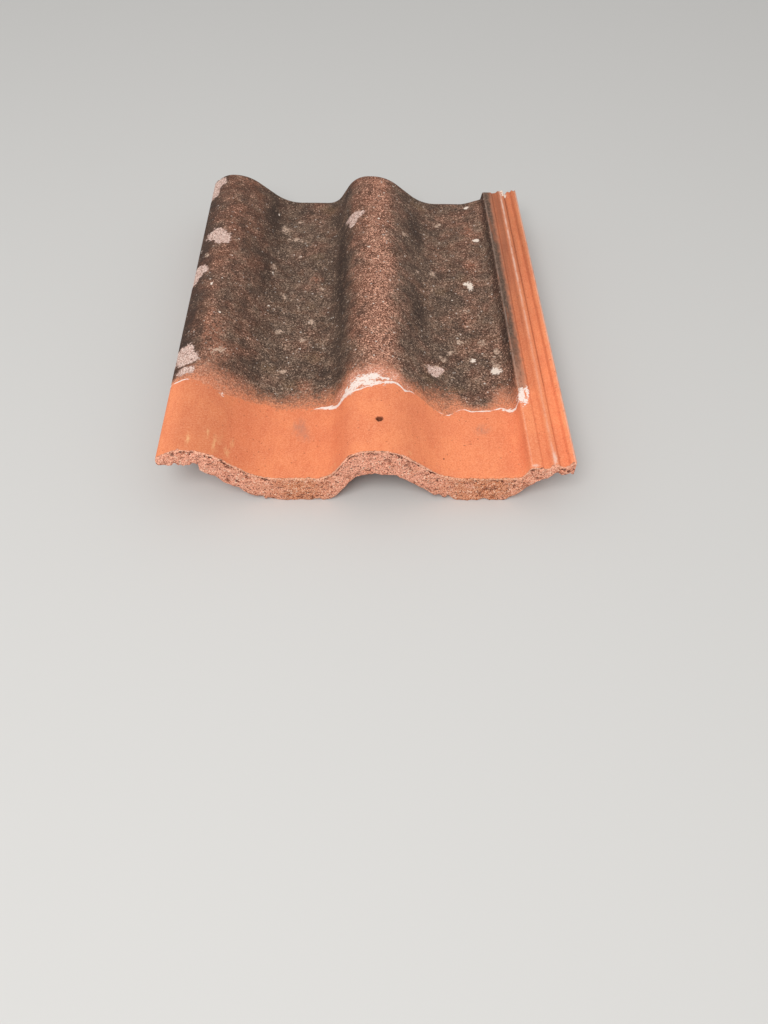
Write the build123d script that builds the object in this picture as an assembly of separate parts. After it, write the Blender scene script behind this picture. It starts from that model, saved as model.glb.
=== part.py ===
"""Interlocking concrete roof tile: double pantile, one moulded piece.

The tile lies as it would on a level floor: X across its width, Y from its head to its tail,
Z up, with the origin under the middle of the tile on the plane that its bars rest on.
"""
import os
from math import radians, sin, tan

from build123d import *

# Plan size: the next tile in a course starts one cover width further along X
length = 420.0
cover_width = 300.0
side_lap = 32.0

# Thickness: a thin body, and bars that hang below it at the head and the tail
skin = 12.5
bar_drop = 27.0
flange_drop = 27.5

# Waves: two rolls to a cover width, each with a steep flank on its left and a gentle one on its right
rolls = 2
roll_height = 32.0
first_crest = 25.5
steep_angle = 58.0
gentle_angle = 38.0
steep_reach = 31.0
gentle_reach = 33.0
steep_crest_radius = 25.0
gentle_crest_radius = 45.0
steep_foot_radius = 18.0
gentle_foot_radius = 45.0

# Left edge: the overlock, a rounded lip that covers the neighbour's ribs
nose_angle = 32.35
nose_radius = 8.0
crest_flat = 0.5
nose_crest_radius = 24.0
lip_wide = 10.0
lip_flat = 2.0

# Right edge: the underlock, measured from the left edge of the neighbour that covers it
sight_gap = 3.8
shoulder_angle = 70.0
shoulder_foot_radius = 7.0
shoulder_flat = 1.2
ridge_fall = 19.2
ridge_wide = 9.2
gutter_fall = 20.4
gutter_wide = 5.6
gutter_rise = 0.6
rib_fall = 15.6
rib_foot = 12.8
rib_wide = 5.2
channel_fall = 18.2
channel_wide = 7.0
rim_fall = 14.2
rim_rise = 0.8
rib_draft = 1.3
lock_gap = 1.3
rebate_gap = 1.0

# Small rounding of the moulded corners
arris = 0.8
edge_radius = 3.0
rim_radius = 1.5

# Tail: the upper edge of the weathered face is a quarter round
tail_radius = 6.0

# Bars under the tile, each a stretch of its length
head_bar = 20.0
tail_bar = 14.0
weather_bar = 8.0
weather_groove = 10.0
weather_bars = 2

# Below the shoulder each bar rises to the flange in two slopes
haunch_foot = 12.0
haunch_angle = 55.0
haunch_height = 15.5
haunch_slope = 37.0
haunch_foot_radius = 14.0
haunch_knee_radius = 10.0

# Nail hole, through the right-hand roll just behind the head bar
nail_hole_radius = 3.0
nail_hole_from_head = 37.0

# Worked out
width = cover_width + side_lap
left = -width / 2
right = width / 2
lap = left + cover_width
roll_pitch = cover_width / rolls
crest_z = roll_height + bar_drop
pan_z = crest_z - roll_height
flange_z = crest_z - flange_drop
crests = [left + first_crest + k * roll_pitch for k in range(rolls)]
ridge_x = lap - sight_gap
rebate_x = left + side_lap + rebate_gap
over = 10.0
upward = 0.3
touch = 0.01


def steep_x(middle, z, inset=0.0):
    """Where a flank that climbs to the right, moved square to itself by inset, is at height z."""
    angle = radians(steep_angle)
    return middle + (z - crest_z + roll_height / 2) / tan(angle) + inset / sin(angle)


def gentle_x(middle, z, inset=0.0):
    """Where a flank that falls to the right, moved square to itself by inset, is at height z."""
    angle = radians(gentle_angle)
    return middle - (z - crest_z + roll_height / 2) / tan(angle) - inset / sin(angle)


def gentle_z(middle, x, inset=0.0):
    """The height of a flank that falls to the right, moved square to itself by inset, at x."""
    angle = radians(gentle_angle)
    return crest_z - roll_height / 2 + (middle - inset / sin(angle) - x) * tan(angle)


def shoulder_x(z, inset=0.0):
    """Where the shoulder by the underlock, moved square to itself by inset, is at height z."""
    angle = radians(shoulder_angle)
    return ridge_x - (crest_z - ridge_fall - z) / tan(angle) + inset / sin(angle)


def wave(inset=0.0, drop=0.0):
    """Corners (x, z, radius) from the first roll's right flank to the right-hand pan.

    inset moves the surface square to itself into the tile, and drop moves it straight down.
    """
    crest = crest_z - inset
    pan = pan_z - inset
    corners = []
    for k, x in enumerate(crests):
        if k:
            corners.append((steep_x(x - steep_reach, pan, inset), pan, steep_foot_radius + inset))
            corners.append((steep_x(x - steep_reach, crest, inset), crest, steep_crest_radius - inset))
            corners.append((gentle_x(x + gentle_reach, crest, inset), crest, gentle_crest_radius - inset))
        corners.append((gentle_x(x + gentle_reach, pan, inset), pan, gentle_foot_radius + inset))
    return [(x, z - drop, radius) for x, z, radius in corners]


def shoulder_foot(inset=0.0):
    """The corner between the right-hand pan and the shoulder."""
    pan = pan_z - inset
    return (shoulder_x(pan, inset), pan, shoulder_foot_radius + inset)


def outline(corners):
    """A closed section across the tile, with each corner rounded to its own radius."""
    points = [(x, z) for x, z, _ in corners]
    return Plane.XZ * make_face(FilletPolyline(*points, radius=[r for _, _, r in corners], close=True))


def run(section, start, end):
    """A section carried along the tile from start to end, measured from the head."""
    return Pos(0, start - length / 2, 0) * extrude(section, amount=end - start, dir=(0, 1, 0))


def underlock():
    """Corners of the ribbed right-hand edge: ridge, gutter, rib, channel and outer rim."""
    top = crest_z - ridge_fall
    ridge_end = ridge_x + ridge_wide
    rib_start = lap + rib_foot
    rib_end = rib_start + rib_wide
    channel_start = rib_end + rib_draft
    channel_end = channel_start + channel_wide
    return [
        (shoulder_x(top - shoulder_flat), top - shoulder_flat, 0.0),
        (ridge_x + shoulder_flat, top, 0.0),
        (ridge_end, top, arris),
        (ridge_end + rib_draft, crest_z - gutter_fall, arris),
        (ridge_end + gutter_wide, crest_z - gutter_fall + gutter_rise, arris),
        (rib_start, crest_z - rib_fall - rib_draft, arris),
        (rib_end, crest_z - rib_fall, arris),
        (channel_start, crest_z - channel_fall, arris),
        (channel_end, crest_z - channel_fall, arris),
        (channel_end + rib_draft, crest_z - rim_fall, arris),
        (right, crest_z - rim_fall + rim_rise, rim_radius),
        (right, flange_z, edge_radius),
    ]


def overlock():
    """Corners of the left-hand edge's underside, from the rebate out to the lip."""
    rib_start = left + rib_foot
    rib_end = rib_start + rib_wide
    channel_start = rib_end + rib_draft
    channel_end = channel_start + channel_wide
    ceiling = crest_z - rim_fall + rim_rise + lock_gap
    groove = crest_z - rib_fall + lock_gap
    tongue = crest_z - channel_fall + lock_gap
    lip = crest_z - ridge_fall + lock_gap
    return [
        (rebate_x, ceiling, arris),
        (channel_end, ceiling, arris),
        (channel_end - rib_draft, tongue, arris),
        (channel_start + lock_gap, tongue, arris),
        (rib_end + lock_gap, groove, arris),
        (left + lip_wide + rib_draft, groove, arris),
        (left + lip_wide, lip, arris),
        (left + lip_flat, lip, 0.0),
        (left, lip + lip_flat, 0.0),
    ]


def upper():
    """Corners of the weathered face, from the left edge to the foot of the shoulder."""
    gentle_corner = gentle_x(crests[0] + gentle_reach, crest_z)
    gentle_start = gentle_corner - gentle_crest_radius * tan(radians(gentle_angle / 2))
    nose_corner = gentle_start - crest_flat - nose_crest_radius * tan(radians(nose_angle / 2))
    return [
        (left, crest_z - (nose_corner - left) * tan(radians(nose_angle)), nose_radius),
        (nose_corner, crest_z, nose_crest_radius),
        (gentle_corner, crest_z, gentle_crest_radius),
        *wave(),
        shoulder_foot(),
    ]


def haunch():
    """Corners of a bar's lower edge, from the right-hand pan up to the flange."""
    foot = ridge_x - haunch_foot
    knee = foot + haunch_height / tan(radians(haunch_angle))
    end = knee + (flange_z - haunch_height) / tan(radians(haunch_slope))
    return [
        (foot, pan_z - bar_drop, haunch_foot_radius),
        (knee, haunch_height, haunch_knee_radius),
        (end, flange_z, edge_radius),
    ]


def bar_section():
    """The section at a bar: the rolls repeated straight below themselves, and a haunch by the flange."""
    first = crests[0] + gentle_reach
    lower = [
        *reversed([*wave(drop=bar_drop), *haunch()]),
        (rebate_x, gentle_z(first, rebate_x) - bar_drop, arris),
    ]
    return outline([*upper(), *underlock(), *lower, *overlock()])


def recess_section():
    """What is left out below the body between two bars."""
    first = crests[0] + gentle_reach
    return outline([
        (rebate_x, gentle_z(first, rebate_x, skin), 0.0),
        *wave(inset=skin),
        shoulder_foot(skin),
        (shoulder_x(flange_z, skin), flange_z, edge_radius),
        (right + over, flange_z, 0.0),
        (right + over, -over, 0.0),
        (rebate_x, -over, 0.0),
    ])


def recesses():
    """Start and end of each stretch between bars, from the head bar to the tail bar."""
    tail_start = length - tail_bar
    step = weather_groove + weather_bar
    starts = [head_bar] + [tail_start - weather_groove - k * step for k in reversed(range(weather_bars))]
    ends = [start - weather_bar for start in starts[1:]] + [tail_start]
    return list(zip(starts, ends))


def tail_edges(tile):
    """The tail edges of the weathered face, from the left edge to the shoulder by the underlock."""
    faces = [face for face in tile.faces() if face.bounding_box().max.X < ridge_x]
    faces = [face for face in faces if face.normal_at().Z > upward or face.center().X < left + touch]
    return [face.edges().sort_by(Axis.Y)[-1] for face in faces]


def roof_tile():
    tile = run(bar_section(), 0.0, length)
    tile = tile.fillet(tail_radius, tail_edges(tile))
    recess = recess_section()
    for start, end in recesses():
        tile -= run(recess, start, end)
    hole = Cylinder(nail_hole_radius, 4 * skin)
    tile -= Pos(crests[-1], nail_hole_from_head - length / 2, crest_z - skin / 2) * hole
    return tile


tile = roof_tile()
os.makedirs("parts", exist_ok=True)
export_step(tile, "parts/roof_tile.step")
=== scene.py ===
"""Looks of a weathered concrete roof tile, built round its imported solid.

Lengths are millimetres in the tile's own frame: X across it from the overlock to the ribbed
underlock, Y from the head to the tail, Z up. They become metres when the mesh is made.
"""
from math import cos, hypot, pi, radians, sin, tan

import bpy
import numpy as np
from mathutils import Matrix, Vector, noise


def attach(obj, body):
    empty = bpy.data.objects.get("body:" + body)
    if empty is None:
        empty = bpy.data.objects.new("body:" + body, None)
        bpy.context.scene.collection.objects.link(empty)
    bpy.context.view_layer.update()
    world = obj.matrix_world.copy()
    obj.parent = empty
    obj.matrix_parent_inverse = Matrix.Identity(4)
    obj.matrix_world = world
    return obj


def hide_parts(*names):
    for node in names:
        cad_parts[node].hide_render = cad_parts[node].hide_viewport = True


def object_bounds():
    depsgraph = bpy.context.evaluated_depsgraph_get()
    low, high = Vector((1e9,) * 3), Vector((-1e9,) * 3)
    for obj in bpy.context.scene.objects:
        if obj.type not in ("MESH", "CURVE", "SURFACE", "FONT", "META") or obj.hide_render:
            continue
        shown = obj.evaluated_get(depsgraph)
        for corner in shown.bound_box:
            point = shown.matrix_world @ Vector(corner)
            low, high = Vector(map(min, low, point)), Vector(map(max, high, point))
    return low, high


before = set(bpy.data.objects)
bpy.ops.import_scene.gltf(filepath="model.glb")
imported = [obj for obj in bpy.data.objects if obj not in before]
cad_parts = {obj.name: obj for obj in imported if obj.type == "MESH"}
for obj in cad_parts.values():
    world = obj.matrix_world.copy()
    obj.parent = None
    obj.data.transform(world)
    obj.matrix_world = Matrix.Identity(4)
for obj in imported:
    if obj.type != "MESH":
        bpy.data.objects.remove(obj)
cad_box = [list(corner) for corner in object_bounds()]
MM = 0.001

# Outer size, from the solid
left, head, floor_z = (value / MM for value in cad_box[0])
right, tail, crest_z = (value / MM for value in cad_box[1])

# Section: the same sizes as the solid's, with softer corners
cover_width = 300
side_lap = 32
skin = 12.5
bar_drop = 27
flange_drop = 27.5
rolls = 2
roll_height = 32
first_crest = 25.5
steep_angle = radians(58)
gentle_angle = radians(38)
steep_reach = 31
gentle_reach = 33
steep_crest_radius = 25
gentle_crest_radius = 45
steep_foot_radius = 18
gentle_foot_radius = 45

# Left edge: the overlock
nose_angle = radians(32.35)
nose_radius = 8
nose_crest_radius = 24
crest_flat = 0.5
lip_wide = 10
lip_flat = 2
lock_gap = 1.3
rebate_gap = 1
rebate_draft = 0.5

# Right edge: the underlock
sight_gap = 3.8
shoulder_angle = radians(70)
shoulder_foot_radius = 7
ridge_fall = 19.2
ridge_wide = 9.2
gutter_fall = 20.4
gutter_wide = 5.6
gutter_rise = 0.6
rib_fall = 15.6
rib_foot = 12.8
rib_wide = 5.2
channel_fall = 18.2
channel_wide = 7
rim_fall = 14.2
rim_rise = 0.8
rib_draft = 1.3
rib_arris = 1.1
shoulder_radius = 1.6
edge_radius = 3
rim_radius = 1.5
tail_radius = 6
rib_tail_radius = 1.4

# Bars, the haunch below the shoulder, and the nail hole
head_bar = 20
weather_bars = ((370, 378), (388, 396))
tail_bar = 406
bar_draft = 0.7
bar_lean = 3
haunch_foot = 12
haunch_angle = radians(55)
haunch_height = 15.5
haunch_slope = radians(37)
haunch_foot_radius = 14
haunch_knee_radius = 10
hole_radius = 2.6
hole_from_head = 37

# Worked out
lap = left + cover_width
pan_z = crest_z - roll_height
flange_z = crest_z - flange_drop
roll_z = crest_z - roll_height / 2
crests = [left + first_crest + k * cover_width / rolls for k in range(rolls)]
ridge_x = lap - sight_gap
rebate_x = left + side_lap + rebate_gap
hole_x = crests[-1]
hole_y = head + hole_from_head
lip_z = crest_z - ridge_fall + lock_gap


def flank_x(middle, level, angle, z, inset=0):
    """Where a flank through (middle, level) is at height z, after it is moved inward by inset."""
    return middle + (z - level) / tan(angle) + inset / sin(angle)


def shoulder_x(z, inset=0):
    """Where the shoulder by the underlock is at height z."""
    return flank_x(ridge_x, crest_z - ridge_fall, shoulder_angle, z, inset)


def wave(inset=0, drop=0, lean=0):
    """Corners (x, z, radius) from the first roll's right flank to the right-hand pan."""
    crest = crest_z - inset
    pan = pan_z - inset
    corners = []
    for k, x in enumerate(crests):
        steep = (x - steep_reach + lean, roll_z, steep_angle)
        gentle = (x + gentle_reach, roll_z, -gentle_angle)
        if k:
            corners.append((flank_x(*steep, pan, inset), pan, steep_foot_radius + inset))
            corners.append((flank_x(*steep, crest, inset), crest, steep_crest_radius - inset))
            corners.append((flank_x(*gentle, crest, inset), crest, gentle_crest_radius - inset))
        corners.append((flank_x(*gentle, pan, inset), pan, gentle_foot_radius + inset))
    return [(x, z - drop, radius) for x, z, radius in corners]


def shoulder_foot(inset=0):
    """The corner between the right-hand pan and the shoulder."""
    pan = pan_z - inset
    return (shoulder_x(pan, inset), pan, shoulder_foot_radius + inset)


def haunch():
    """Corners of a bar's lower edge, from the right-hand pan up to the flange."""
    foot = ridge_x - haunch_foot
    knee = foot + haunch_height / tan(haunch_angle)
    end = knee + (flange_z - haunch_height) / tan(haunch_slope)
    return [
        (foot, floor_z, haunch_foot_radius),
        (knee, haunch_height, haunch_knee_radius),
        (end, flange_z, edge_radius),
    ]


def lock_stops(start):
    """Across a lock from the left edge of the tile that covers it: the rib, then the channel."""
    rib = start + rib_foot
    channel = rib + rib_wide + rib_draft
    return rib, rib + rib_wide, channel, channel + channel_wide


def overlock():
    """Corners of the left edge's underside, from the lip in to the rebate."""
    _, rib_end, channel_start, channel_end = lock_stops(left)
    ceiling = crest_z - rim_fall + rim_rise + lock_gap
    groove = crest_z - rib_fall + lock_gap
    tongue = crest_z - channel_fall + lock_gap
    return [
        (left + lip_flat, lip_z, 0),
        (left + lip_wide, lip_z, rib_arris),
        (left + lip_wide + rib_draft, groove, rib_arris),
        (rib_end + lock_gap, groove, rib_arris),
        (channel_start + lock_gap, tongue, rib_arris),
        (channel_end - rib_draft, tongue, rib_arris),
        (channel_end, ceiling, rib_arris),
        (rebate_x, ceiling, 0),
    ]


def underlock():
    """Corners of the right edge: ridge, gutter, rib, channel and outer rim."""
    ridge_end = ridge_x + ridge_wide
    rib_start, rib_end, channel_start, channel_end = lock_stops(lap)
    corners = [
        (ridge_x, ridge_fall, shoulder_radius),
        (ridge_end, ridge_fall, rib_arris),
        (ridge_end + rib_draft, gutter_fall, rib_arris),
        (ridge_end + gutter_wide, gutter_fall - gutter_rise, rib_arris),
        (rib_start, rib_fall + rib_draft, rib_arris),
        (rib_end, rib_fall, rib_arris),
        (channel_start, channel_fall, rib_arris),
        (channel_end, channel_fall, rib_arris),
        (channel_end + rib_draft, rim_fall, rib_arris),
        (right, rim_fall - rim_rise, rim_radius),
    ]
    return [(x, crest_z - fall, radius) for x, fall, radius in corners]


def weathered_face():
    """Corners of the whole upper side, from the left edge to the right one."""
    gentle_corner = flank_x(crests[0] + gentle_reach, roll_z, -gentle_angle, crest_z)
    gentle_start = gentle_corner - gentle_crest_radius * tan(gentle_angle / 2)
    nose_corner = gentle_start - crest_flat - nose_crest_radius * tan(nose_angle / 2)
    return [
        (left, crest_z - (nose_corner - left) * tan(nose_angle), nose_radius),
        (nose_corner, crest_z, nose_crest_radius),
        (gentle_corner, crest_z, gentle_crest_radius),
        *wave(),
        shoulder_foot(),
        *underlock(),
    ]


# Lines and heights: steps along an arc, the least turn that is rounded, and what counts as the same place
arc_step = 0.4
least_arc_points = 3
least_turn = 0.001
touch = 1e-6


def rounded(start, corners, end):
    """The line from start to end through the corners, each rounded to its own radius."""
    stops = [np.array(start)] + [np.array(corner[:2]) for corner in corners] + [np.array(end)]
    points = [stops[0]]
    for before, corner, after, (_, _, radius) in zip(stops, stops[1:], stops[2:], corners):
        back = (before - corner) / hypot(*(before - corner))
        on = (after - corner) / hypot(*(after - corner))
        turn = pi - np.arccos(np.clip(back @ on, -1, 1))
        if radius == 0 or turn < least_turn:
            points.append(corner)
            continue
        bisector = (back + on) / hypot(*(back + on))
        centre = corner + bisector * radius / cos(turn / 2)
        first, last = (corner + way * radius * tan(turn / 2) - centre for way in (back, on))
        for share in np.linspace(0, 1, max(least_arc_points, int(turn * radius / arc_step))):
            arm = sin((1 - share) * turn) * first + sin(share * turn) * last
            points.append(centre + arm / sin(turn))
    points.append(stops[-1])
    return np.array(points)


def height_of(line):
    """A function that gives a line's height at any x."""
    return lambda x: np.interp(x, line[:, 0], line[:, 1])


recess_corner = (shoulder_x(flange_z, skin), flange_z, edge_radius)
rebate_foot = roll_z + (crests[0] + gentle_reach - rebate_x) * tan(gentle_angle) - bar_drop
lip_corner = (left, lip_z + lip_flat)
top_line = rounded(lip_corner, weathered_face(), (right, flange_z + edge_radius))
bar_corners = [(rebate_x + rebate_draft, rebate_foot, 0), *wave(drop=bar_drop, lean=bar_lean), *haunch()]
bar_line = rounded(lip_corner, [*overlock(), *bar_corners], (right, flange_z))
recess_corners = [*wave(inset=skin), shoulder_foot(skin), recess_corner]
recess_line = rounded(lip_corner, [*overlock(), *recess_corners], (right, flange_z))
inner_top = top_line[(top_line[:, 0] > left + touch) & (top_line[:, 0] < right - touch)]
top_z = height_of(inner_top)
bar_z = height_of(bar_line)
recess_z = height_of(recess_line)


# The mesh's columns and rows: closer at the ribs, the head and the nail hole
rib_column = 0.85
rib_margin = 2
shoulder_column = 1.2
wave_column = 2.05
plain_row = 2.7
least_gap = 0.05
head_rows = (0, 0.7, 1.4, 2.1, 2.8, 3.6, 4.6, 5.8, 7.2, 8.8)
tail_curve_rows = 7
wall_rows = 18
past_end = 1
slope_reach = 0.3
# The burr that closes the overlock's grooves at the head
burr_length = 1.5
burr_fade = 0.6
burr_rise = 0.6
burr_ragged = 0.8
# The nail hole: the mesh round it, steps down its wall, its flare at both faces, unevenness and rounding
hole_block = (1.5, 3, 4.4, 6)
hole_steps = 6
hole_flare = 1.5
hole_uneven = 0.5
hole_upper_edge = 0.35
hole_lower_edge = 0.2


def filled(stops, gap):
    """The stops in order, with even steps of at most gap between them."""
    stops = sorted(stops)
    values = [stops[0]]
    for low, high in zip(stops, stops[1:]):
        if high - low < least_gap:
            continue
        steps = max(1, int(np.ceil((high - low) / gap(0.5 * (low + high)) - touch)))
        values += list(np.linspace(low, high, steps + 1)[1:])
    return np.array(values)


def column_stops():
    """Where the mesh must have a column: beside each corner of the ribs, and round the nail hole."""
    corners = [x for x, _, _ in overlock() + underlock()]
    stops = [left, right, rebate_x, rebate_x + rebate_draft, hole_x]
    stops += [x + side * 0.5 * rib_arris for x in corners[1:-1] for side in (-1, 1)]
    stops += [hole_x + side * reach for reach in hole_block for side in (-1, 1)]
    return [x for x in stops if left <= x <= right]


def row_stops():
    """Where the mesh must have a row: at the ends, beside each edge of a bar, and round the nail hole."""
    stops = [head + value for value in head_rows]
    stops += [hole_y] + [hole_y + side * reach for reach in hole_block for side in (-1, 1)]
    edges = [head_bar, tail_bar] + [edge for bar in weather_bars for edge in bar]
    stops += [head + edge + side * 0.5 * bar_draft for edge in edges for side in (-1, 1)]
    stops += [tail - tail_radius * (1 - cos(angle)) for angle in np.linspace(0, pi / 2, tail_curve_rows)]
    return stops


def column_gap(x):
    """The widest step between two columns at x."""
    if x < rebate_x or x > ridge_x - rib_margin:
        return rib_column
    return shoulder_column if x > ridge_x - haunch_foot else wave_column


columns = filled(column_stops(), column_gap)
rows = filled(row_stops(), lambda y: plain_row)


def bar_share(y):
    """1 at a bar, 0 between two bars."""
    share = np.zeros_like(y)
    bars = [(-past_end, head_bar), *weather_bars, (tail_bar, tail - head + past_end)]
    for start, end in bars:
        inside = np.minimum(y - head - start, end - y + head)
        share = np.maximum(share, np.clip(inside / bar_draft + 0.5, 0, 1))
    return share


def lip_burr(x, y):
    """The height of the burr's lower edge. It is out of the way where there is no burr."""
    behind = np.clip((y - head - burr_length) / burr_fade, 0, 1)
    beside = np.where((x > left + lip_wide) & (x < rebate_x), 0, 1)
    ragged = burr_ragged * np.sin(0.9 * x) * np.sin(0.37 * x + 1)
    return lip_z + burr_rise + ragged + crest_z * np.maximum(behind, beside)


def lattice():
    """Every point of the tile's surface, as a box of columns, wall rows and rows bent to its shape.

    Returns the points, the number of each place of the box and how far down the wall each point is.
    """
    count = (len(columns), wall_rows + 1, len(rows))
    i, k, j = np.meshgrid(*[np.arange(n) for n in count], indexing="ij")
    outside = (i == 0) | (i == count[0] - 1)
    outside |= (k == 0) | (k == wall_rows)
    outside |= (j == 0) | (j == count[2] - 1)
    ids = np.full(count, -1)
    ids[outside] = np.arange(outside.sum())
    x = columns[i[outside]]
    y = rows[j[outside]]
    down = k[outside] / wall_rows
    upper = top_z(x)
    lower = recess_z(x) + (bar_z(x) - recess_z(x)) * bar_share(y)
    lower = np.minimum(lower, lip_burr(x, y))
    slope = (top_z(x + slope_reach) - top_z(x - slope_reach)) / (2 * slope_reach)
    length = np.hypot(1, slope)
    radius = np.where(x < ridge_x - 0.5 * rib_margin, tail_radius, rib_tail_radius)
    into = np.clip(1 - (tail - y) / radius, 0, 1)
    drop = radius * (1 - np.sqrt(1 - into ** 2))
    top_x = np.clip(x + drop * slope / length, left, right)
    points = np.empty((len(x), 3))
    points[:, 0] = top_x + (x - top_x) * down
    points[:, 1] = y
    points[:, 2] = (upper - drop / length) * (1 - down) + lower * down
    return points, ids, down


def sheet_faces(grid, flip):
    """Quads over a grid of point numbers."""
    corners = [grid[:-1, :-1], grid[1:, :-1], grid[1:, 1:], grid[:-1, 1:]]
    faces = np.stack([corner.ravel() for corner in corners], axis=1)
    return faces[:, ::-1] if flip else faces


def block_ring(ids_flat, columns_in, rows_in):
    """The point numbers round a block of a grid, in order."""
    (a, b), (c, d) = columns_in, rows_in
    ring = [(i, c) for i in range(a, b)] + [(b, j) for j in range(c, d)]
    ring += [(i, d) for i in range(b, a, -1)] + [(a, j) for j in range(d, c, -1)]
    return [ids_flat[i, j] for i, j in ring]


def nail_hole(points, ids, down):
    """Adds the nail hole's wall, and gives the blocks of faces that it takes out of both sides."""
    reach = hole_block[-1]
    columns_in = [int(np.argmin(abs(columns - hole_x - side * reach))) for side in (-1, 1)]
    rows_in = [int(np.argmin(abs(rows - hole_y - side * reach))) for side in (-1, 1)]
    rings = [block_ring(ids[:, k, :], columns_in, rows_in) for k in (0, wall_rows)]
    outer = points[rings[0]]
    angles = np.arctan2(outer[:, 1] - hole_y, outer[:, 0] - hole_x)
    added = []
    shares = []
    for step in range(-1, hole_steps + 2):
        share = min(max(step / hole_steps, 0), 1)
        flare = hole_flare if step in (-1, hole_steps + 1) else 0
        ring = []
        for angle in angles:
            uneven = noise.noise(Vector((2 * cos(angle), 2 * sin(angle), 2.5 * share)))
            radius = hole_radius + flare + hole_uneven * uneven
            x = hole_x + radius * cos(angle)
            y = hole_y + radius * sin(angle)
            upper = top_z(x) - (hole_upper_edge if step == 0 else 0)
            lower = recess_z(x) + (hole_lower_edge if step == hole_steps else 0)
            ring.append((x, y, upper + (lower - upper) * share))
        added.append(ring)
        shares += [share] * len(ring)
    numbers = np.arange(len(points), len(points) + len(shares)).reshape(len(added), -1)
    numbers = np.vstack([rings[0], numbers, rings[1]])
    points = np.vstack([points, *added])
    faces = []
    for ring, inner in zip(numbers, numbers[1:]):
        faces += zip(ring, np.roll(ring, -1), np.roll(inner, -1), inner)
    return points, np.array(faces), columns_in, rows_in, np.concatenate([down, shares])


def tile_mesh():
    """Points and quads of the whole tile, before any wear."""
    points, ids, down = lattice()
    points, hole_faces, (a, b), (c, d), down = nail_hole(points, ids, down)
    faces = [hole_faces]
    for k, flip in ((0, False), (wall_rows, True)):
        grid = ids[:, k, :]
        keep = np.ones((grid.shape[0] - 1, grid.shape[1] - 1), bool)
        keep[a:b, c:d] = False
        faces.append(sheet_faces(grid, flip)[keep.ravel()])
    for grid, flip in ((ids[0], True), (ids[-1], False), (ids[:, :, 0], True), (ids[:, :, -1], False)):
        faces.append(sheet_faces(grid, flip))
    return points, np.vstack(faces), down


def wander(places, size, seed=0):
    """Smooth random values from about -1 to 1 that change over about size millimetres."""
    return np.array([noise.noise(Vector(place)) for place in places / size + seed])


def smooth(value):
    """0 below 0, 1 above 1 and an even curve between."""
    value = np.clip(value, 0, 1)
    return value * value * (3 - 2 * value)


def along(stops, x):
    """A value between given stops {x: value}."""
    return np.interp(x, list(stops), list(stops.values()))


def spots(places, x, y, wobble):
    """1 in the middle of each spot (x, y, half width, half length), 0 at its edge, less outside."""
    value = np.full_like(x, -1)
    for spot_x, spot_y, half_width, half_length in places:
        away = np.hypot((x - spot_x) / half_width, (y - spot_y) / half_length)
        value = np.maximum(value, 1 - away + wobble)
    return value


# Dirt packed against the shoulder: where it starts across the tile, its depth, and where it starts along
# the tile, with the length over which it deepens
packed_from = 105
packed_depth = 7.5
packed_start = 80
packed_run = 120
# Where the next course lay: the line of its edge {x: y}, and how far dirt fades in above it {x: length}
lap_edge = {
    -166: -125, -151: -126, -144: -128, -134: -132, -124: -136, -119: -138, -108: -134, -93: -129.5,
    -87: -127.3, -84: -127.3, -78: -130, -60: -129.5, -50: -129, -40: -127.3, -33: -129.5, -29: -132,
    -24: -136.5, -20: -133.5, -16: -135.5, -5: -137, 3: -134, 11: -130, 18: -127.5, 25: -126, 29: -129,
    32: -132.5, 37: -127.5, 47: -130, 55: -134, 70: -137, 74: -134, 79: -129.5, 84: -128.5, 91: -131,
    106: -130.5, 112: -128.5, 117: -126.5, 124: -131, 128: -133.5, 130.5: -128, 134: -121, 140: -116,
    166: -110,
}
lap_fade = {
    -166: 10, -158: 13, -150: 22, -142: 34, -132: 42, -120: 38, -110: 32, -100: 27, -92: 20, -78: 19,
    -64: 23, -52: 30, -42: 23, -30: 34, -22: 33, -16: 40, 0: 43, 14: 38, 28: 30, 36: 19, 48: 24, 60: 42,
    76: 37, 84: 15, 92: 10, 104: 12, 110: 20, 120: 44, 129: 38, 131: 60, 166: 60,
}
# Lime along that edge: the line {x: half width}, and blooms and a pink haze above it (x, y, half width,
# half length)
lime_line = {
    -166: 1, -152: 0.8, -146: 0.1, -125: 0, -96: 0, -60: 0.1, -44: 0.4, -39: 1.4, -34: 2.2, -24: 2.2,
    -16: 1.5, 0: 0.6, 8: 1.2, 20: 1.7, 27: 1.5, 32: 1.3, 37: 0.8, 42: 0.05, 60: 0.2, 70: 0.9, 76: 0.4,
    82: 0.4, 92: 0.9, 104: 0.7, 110: 0.3, 115: 1.3, 124: 1.8, 129: 1.2, 131: 0, 166: 0,
}
lime_blooms = (
    (-19, -134, 6, 4), (-14, -131, 8, 6), (-8, -128, 9, 7), (-2, -124.5, 9, 7), (5, -122, 8, 5),
    (1, -130, 10, 5), (9, -130, 8, 2.5), (15, -124, 7, 2), (-24, -135, 4, 3), (-33, -128.5, 6, 2),
    (-120, -138, 2.2, 2.8), (32, -131, 2.5, 2), (121, -128.5, 5, 1.8), (132.6, -126, 3.6, 11),
    (138.2, -119, 1.8, 9), (134.6, -117, 3.6, 3.4), (135, -131, 3.4, 5),
)
lime_haze = ((-23, -125, 5, 9), (-10, -119, 11, 9), (6, -116, 14, 9), (23, -118, 9, 9), (35, -125, 4, 5))
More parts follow.
